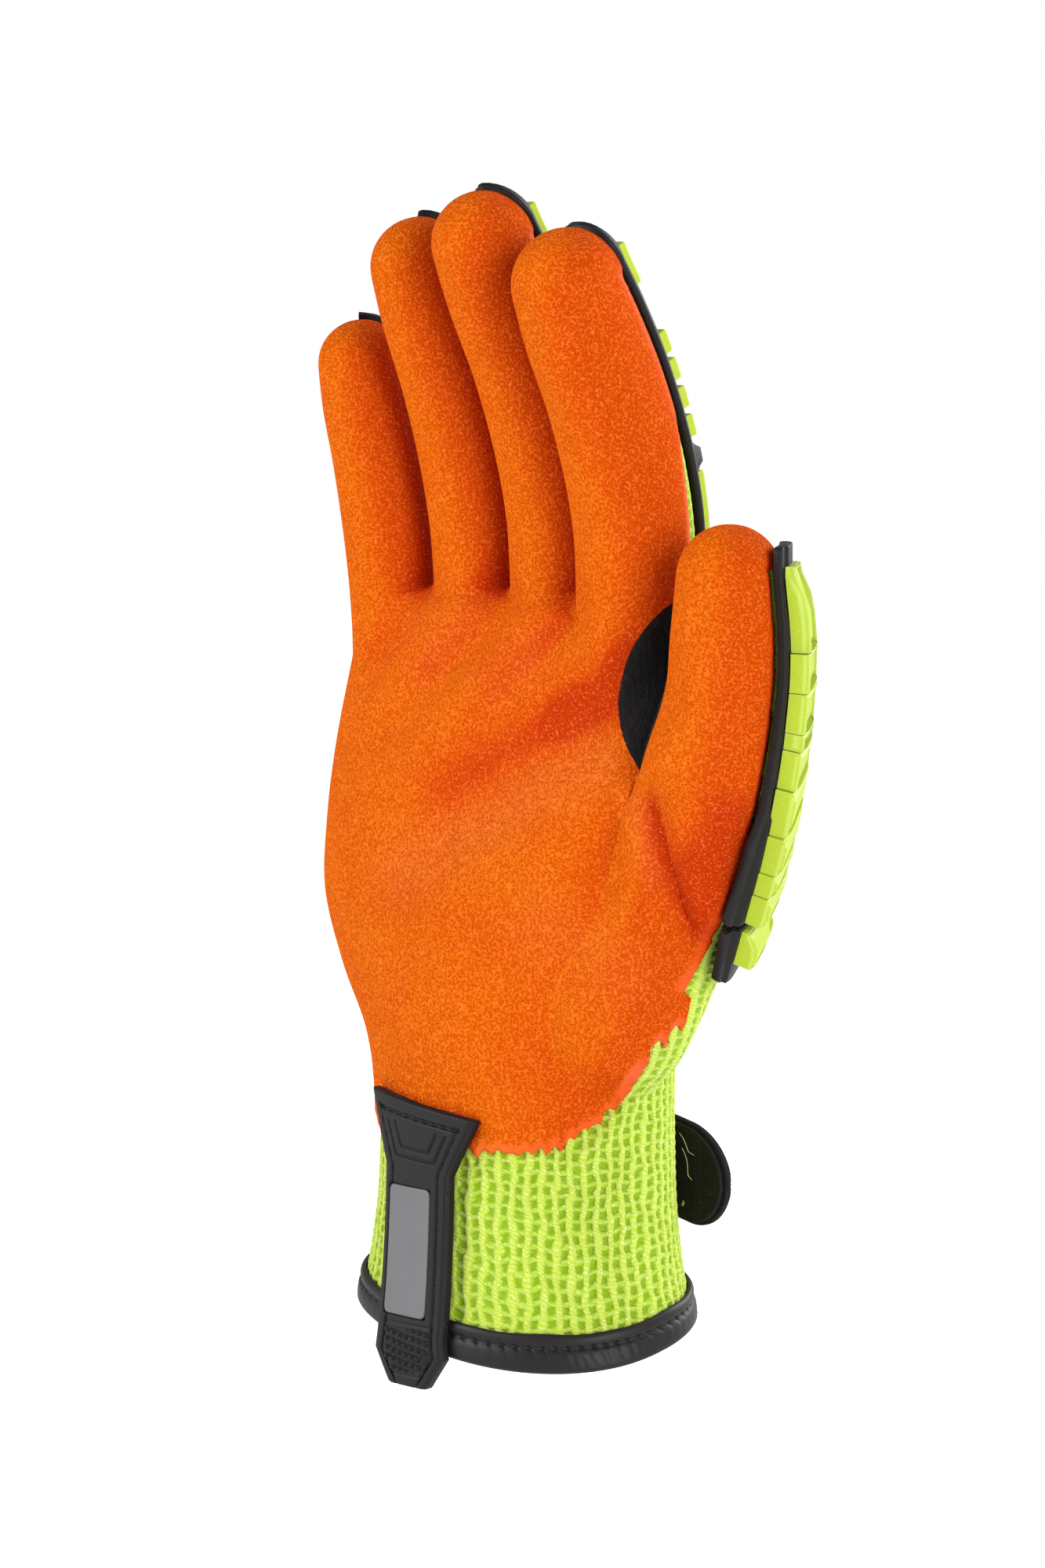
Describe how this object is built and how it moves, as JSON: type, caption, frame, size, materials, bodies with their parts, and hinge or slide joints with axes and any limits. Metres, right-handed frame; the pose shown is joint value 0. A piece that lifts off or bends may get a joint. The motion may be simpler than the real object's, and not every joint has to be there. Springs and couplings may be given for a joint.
{
  "type": "impact glove",
  "caption": "Right-hand impact glove with a knitted liner, foam-coated palm, moulded rubber guards with raised blocks, pull tab and wrist strap.",
  "frame": {"origin": "middle of the cuff opening, where the wrist goes in, level with the cuff's edge on the back", "axes": "+Z towards the fingertips, palm facing -Y, thumb towards +X"},
  "size_m": [0.1351, 0.0664, 0.2532],
  "materials": {
    "lime_knit": "matte waffle knit",
    "orange_foam": "matte sandy foam",
    "patch_cloth": "matte ribbed cloth",
    "black_rubber": "satin moulded rubber",
    "lime_rubber": "satin moulded rubber",
    "strap_cloth": "matte woven tape",
    "hook_tape": "hook tape",
    "hem_leatherette": "satin leatherette",
    "reflective_grey": "satin grey plate"
  },
  "bodies": {
    "root": {"knit_palm": "lime_knit", "knit_index": "lime_knit", "knit_middle": "lime_knit", "knit_ring": "lime_knit", "knit_little": "lime_knit", "knit_thumb": "lime_knit", "palm_coating": "orange_foam", "thumb_crotch_patch": "patch_cloth", "index_guard": "black_rubber", "index_block_1": "lime_rubber", "index_block_2": "lime_rubber", "index_block_3": "lime_rubber", "index_block_4": "lime_rubber", "index_block_5": "lime_rubber", "index_block_6": "lime_rubber", "middle_guard": "black_rubber", "middle_block_1": "lime_rubber", "middle_block_2": "lime_rubber", "middle_block_3": "lime_rubber", "middle_block_4": "lime_rubber", "middle_block_5": "lime_rubber", "middle_block_6": "lime_rubber", "ring_guard": "black_rubber", "ring_block_1": "lime_rubber", "ring_block_2": "lime_rubber", "ring_block_3": "lime_rubber", "ring_block_4": "lime_rubber", "ring_block_5": "lime_rubber", "ring_block_6": "lime_rubber", "little_guard": "black_rubber", "little_block_1": "lime_rubber", "little_block_2": "lime_rubber", "little_block_3": "lime_rubber", "little_block_4": "lime_rubber", "little_block_5": "lime_rubber", "little_block_6": "lime_rubber", "thumb_guard": "black_rubber", "thumb_block_1": "lime_rubber", "thumb_block_2": "lime_rubber", "thumb_block_3": "lime_rubber", "thumb_block_4": "lime_rubber", "thumb_block_5": "lime_rubber", "thumb_block_6": "lime_rubber", "thumb_block_7": "lime_rubber", "thumb_block_8": "lime_rubber", "thumb_block_9": "lime_rubber", "thumb_base_guard": "black_rubber", "thumb_base_block_1": "lime_rubber", "back_guard": "black_rubber", "knuckle_block_1": "lime_rubber", "knuckle_block_2": "lime_rubber", "knuckle_block_3": "lime_rubber", "knuckle_block_4": "lime_rubber", "hand_block_1": "lime_rubber", "hand_block_2": "lime_rubber", "wrist_strap": "strap_cloth", "hook_patch": "hook_tape", "hem_binding": "hem_leatherette", "pull_tab": "black_rubber", "reflective_plate": "reflective_grey"}
  },
  "joints": []
}
